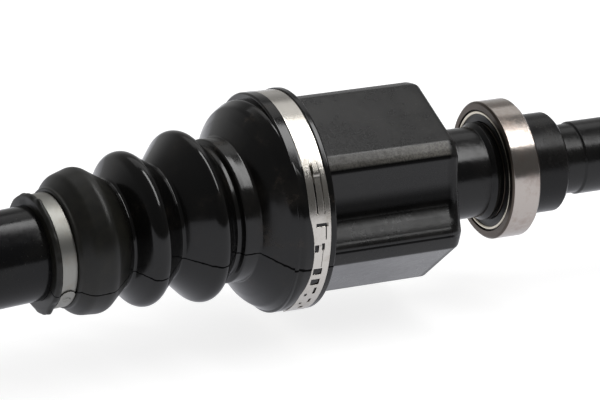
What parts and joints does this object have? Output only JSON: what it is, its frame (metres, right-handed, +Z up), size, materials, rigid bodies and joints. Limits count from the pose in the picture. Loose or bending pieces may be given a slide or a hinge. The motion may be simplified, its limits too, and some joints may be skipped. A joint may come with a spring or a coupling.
{
  "type": "drive shaft",
  "caption": "Drive shaft with a sliding tripod joint, a fixed ball joint, banded rubber boots and a support bearing on its stub.",
  "frame": {"origin": "centre of the support bearing", "axes": "+X along the tripod housing and stub towards the gearbox, +Z up; the shaft leaves the tripod joint towards -X with a bend of 5.5 degrees sideways and 1.5 degrees down"},
  "size_m": [0.7544, 0.1343, 0.1053],
  "materials": {
    "shaft_paint": "satin black paint",
    "housing_paint": "satin black paint over a forging",
    "bearing_steel": "ground steel, lightly tarnished",
    "ball_steel": "polished steel",
    "machined_steel": "machined steel, oiled",
    "spring_steel": "drawn wire",
    "cage_steel": "pressed and phosphated steel",
    "cup_plastic": "moulded nylon",
    "boot_rubber": "moulded, slightly glossy",
    "seal_rubber": "moulded, matt",
    "clamp_stainless": "rolled stainless band",
    "clamp_zinc": "zinc-plated band",
    "collar_black": "black phosphate"
  },
  "bodies": {
    "bearing_mount": {"bearing_outer_ring": "bearing_steel", "bearing_seal_left": "seal_rubber", "bearing_seal_right": "seal_rubber"},
    "bearing_cage_set": {"bearing_cage": "cage_steel", "bearing_balls": "ball_steel"},
    "inboard": {"tripod_housing": "housing_paint", "bearing_inner_ring": "bearing_steel", "bearing_collar": "collar_black", "stub_snap_ring": "spring_steel", "inner_boot_large_clamp": "clamp_stainless"},
    "thrust_set": {"thrust_cup": "cup_plastic", "thrust_spring": "spring_steel"},
    "inner_boot_body": {"inner_boot": "boot_rubber"},
    "shaft": {"shaft_tube": "shaft_paint", "inner_stub": "shaft_paint", "outer_stub": "shaft_paint", "spider": "machined_steel", "roller_washers": "machined_steel", "trunnion_clips": "spring_steel", "spider_clip": "spring_steel", "cv_clip": "spring_steel", "cv_inner_race": "machined_steel", "inner_boot_small_clamp": "clamp_zinc", "outer_boot_small_clamp": "clamp_zinc"},
    "roller_1_set": {"roller_1": "machined_steel", "needles_1": "ball_steel"},
    "roller_2_set": {"roller_2": "machined_steel", "needles_2": "ball_steel"},
    "roller_3_set": {"roller_3": "machined_steel", "needles_3": "ball_steel"},
    "outer_boot_body": {"outer_boot": "boot_rubber"},
    "cv_cage_set": {"cv_cage": "cage_steel", "cv_balls": "ball_steel"},
    "wheel_stub": {"cv_outer_race": "machined_steel", "outer_boot_large_clamp": "clamp_stainless"}
  },
  "joints": [
    {"name": "shaft_spin", "type": "hinge", "parent": "bearing_mount", "child": "inboard", "pos_m": [0, 0, 0], "axis": [1, 0, 0], "continuous": true},
    {"name": "bearing_cage_spin", "type": "hinge", "parent": "bearing_mount", "child": "bearing_cage_set", "pos_m": [0, 0, 0], "axis": [1, 0, 0], "continuous": true},
    {"name": "plunge", "type": "slide", "parent": "inboard", "child": "thrust_set", "axis": [1, 0, 0], "range_m": [-0.01, 0.012], "deforming": ["thrust_spring"]},
    {"name": "tripod_yaw", "type": "hinge", "parent": "thrust_set", "child": "inner_boot_body", "pos_m": [-0.093, 0, 0], "axis": [0, 0, 1], "range_deg": [-18.5, 7.5], "deforming": ["inner_boot"]},
    {"name": "tripod_pitch", "type": "hinge", "parent": "inner_boot_body", "child": "shaft", "pos_m": [-0.093, 0, 0], "axis": [-0.0958, 0.9954, 0], "range_deg": [-11.5, 14.5]},
    {"name": "roller_1_spin", "type": "hinge", "parent": "shaft", "child": "roller_1_set", "pos_m": [-0.093, 0, 0], "axis": [0.092, -0.9883, 0.1218], "continuous": true},
    {"name": "roller_2_spin", "type": "hinge", "parent": "shaft", "child": "roller_2_set", "pos_m": [-0.093, 0, 0], "axis": [-0.0135, 0.3912, -0.9202], "continuous": true},
    {"name": "roller_3_spin", "type": "hinge", "parent": "shaft", "child": "roller_3_set", "pos_m": [-0.093, 0, 0], "axis": [-0.0785, 0.597, 0.7984], "continuous": true},
    {"name": "wheel_pitch", "type": "hinge", "parent": "shaft", "child": "outer_boot_body", "pos_m": [-0.49102, -0.03833, -0.01047], "axis": [-0.0958, 0.9954, 0], "range_deg": [-8, 8], "deforming": ["outer_boot"]},
    {"name": "wheel_turn_cage", "type": "hinge", "parent": "outer_boot_body", "child": "cv_cage_set", "pos_m": [-0.49102, -0.03833, -0.01047], "axis": [-0.0261, -0.0025, 0.9997], "range_deg": [-21, 21]},
    {"name": "wheel_turn_race", "type": "hinge", "parent": "cv_cage_set", "child": "wheel_stub", "pos_m": [-0.49102, -0.03833, -0.01047], "axis": [-0.0261, -0.0025, 0.9997], "range_deg": [-21, 21]}
  ],
  "couplings": [
    {"joint": "bearing_cage_spin", "follows": "shaft_spin", "ratio": 0.41856},
    {"joint": "roller_1_spin", "follows": "plunge", "rad_per_m": 68.966},
    {"joint": "roller_2_spin", "follows": "plunge", "rad_per_m": 68.966},
    {"joint": "roller_3_spin", "follows": "plunge", "rad_per_m": 68.966},
    {"joint": "wheel_turn_race", "follows": "wheel_turn_cage", "ratio": 1}
  ]
}
